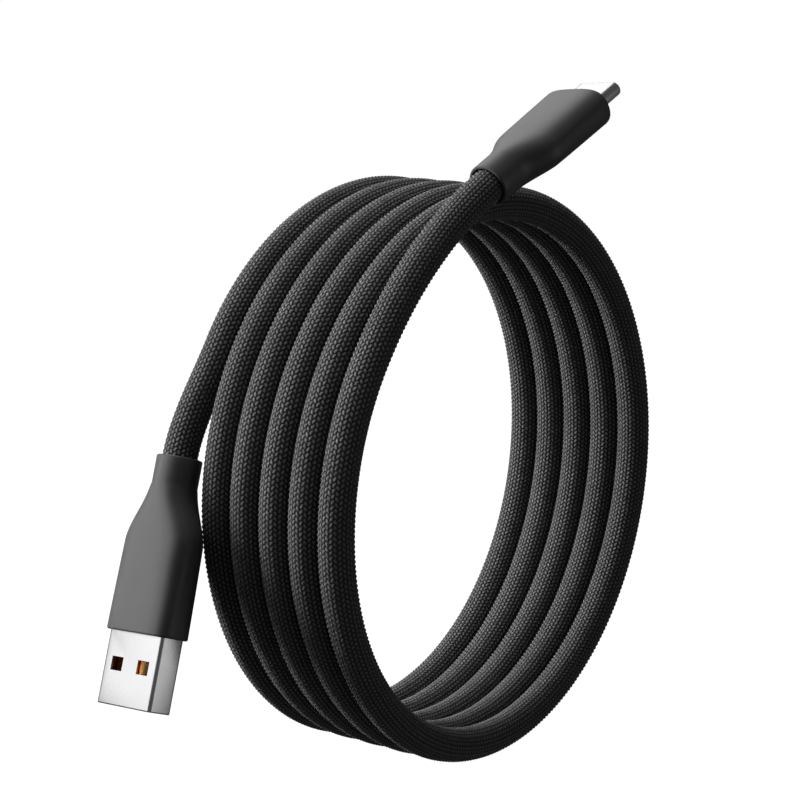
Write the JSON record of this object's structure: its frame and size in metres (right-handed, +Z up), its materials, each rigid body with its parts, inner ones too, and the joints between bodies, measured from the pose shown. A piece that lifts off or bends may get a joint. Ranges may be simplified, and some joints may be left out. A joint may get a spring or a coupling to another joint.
{
  "type": "charging cable",
  "caption": "Braided charging cable wound into a standing round coil, with a USB-A plug on one end and a USB-C plug on the other.",
  "frame": {"origin": "middle of the underside of the whole cable's box, on the surface that the coil stands on", "axes": "+Z up, Y along the coil's level axis with the USB-A end at the back (+Y) and the USB-C end at the front (-Y), +X across the coil towards the side the USB-C plug points to"},
  "size_m": [0.107, 0.0448, 0.1078],
  "materials": {
    "braid": "matte woven polyester braid, charcoal black",
    "hood": "satin moulded plastic, dark grey",
    "steel": "polished stamped steel, nickel plated",
    "insulator": "orange moulded insulator",
    "gold": "gold-plated contact",
    "inner_mould": "off-white inner mould",
    "core": "black inner jacket",
    "wire_red": "red insulation",
    "wire_white": "white insulation",
    "wire_green": "green insulation",
    "wire_black": "black insulation",
    "housing": "black moulded insulator",
    "board": "green solder resist",
    "resistor": "black chip body"
  },
  "bodies": {
    "cable": {"cable_coil": "braid", "cable_tail_a": "braid", "cable_tail_c": "braid", "usb_a_hood": "hood", "usb_a_shell": "steel", "usb_a_tongue": "insulator", "usb_a_contact_vbus": "gold", "usb_a_contact_d_minus": "gold", "usb_a_contact_d_plus": "gold", "usb_a_contact_gnd": "gold", "usb_a_inner_mould": "inner_mould", "usb_a_cable_core": "core", "usb_a_wire_red": "wire_red", "usb_a_wire_white": "wire_white", "usb_a_wire_green": "wire_green", "usb_a_wire_black": "wire_black", "usb_c_hood": "hood", "usb_c_shell": "steel", "usb_c_housing": "housing", "usb_c_contact_a1": "gold", "usb_c_contact_a4": "gold", "usb_c_contact_a5": "gold", "usb_c_contact_a6": "gold", "usb_c_contact_a7": "gold", "usb_c_contact_a9": "gold", "usb_c_contact_a12": "gold", "usb_c_contact_b12": "gold", "usb_c_contact_b9": "gold", "usb_c_contact_b5": "gold", "usb_c_contact_b4": "gold", "usb_c_contact_b1": "gold", "usb_c_board": "board", "usb_c_resistor": "resistor", "usb_c_shield_can": "steel", "usb_c_cable_core": "core", "usb_c_wire_red": "wire_red", "usb_c_wire_white": "wire_white", "usb_c_wire_green": "wire_green", "usb_c_wire_black": "wire_black"},
    "latch_left": {"usb_c_latch_left": "steel"},
    "latch_right": {"usb_c_latch_right": "steel"}
  },
  "joints": [
    {"name": "latch_left_flex", "type": "hinge", "parent": "cable", "child": "latch_left", "pos_m": [0.02121, -0.01981, 0.10415], "axis": [0.4118, -0.1216, -0.9031], "range_deg": [0, 2], "stiffness_Nm_per_rad": 0.3},
    {"name": "latch_right_flex", "type": "hinge", "parent": "cable", "child": "latch_right", "pos_m": [0.022, -0.01298, 0.10359], "axis": [-0.4118, 0.1216, 0.9031], "range_deg": [0, 2], "stiffness_Nm_per_rad": 0.3}
  ]
}
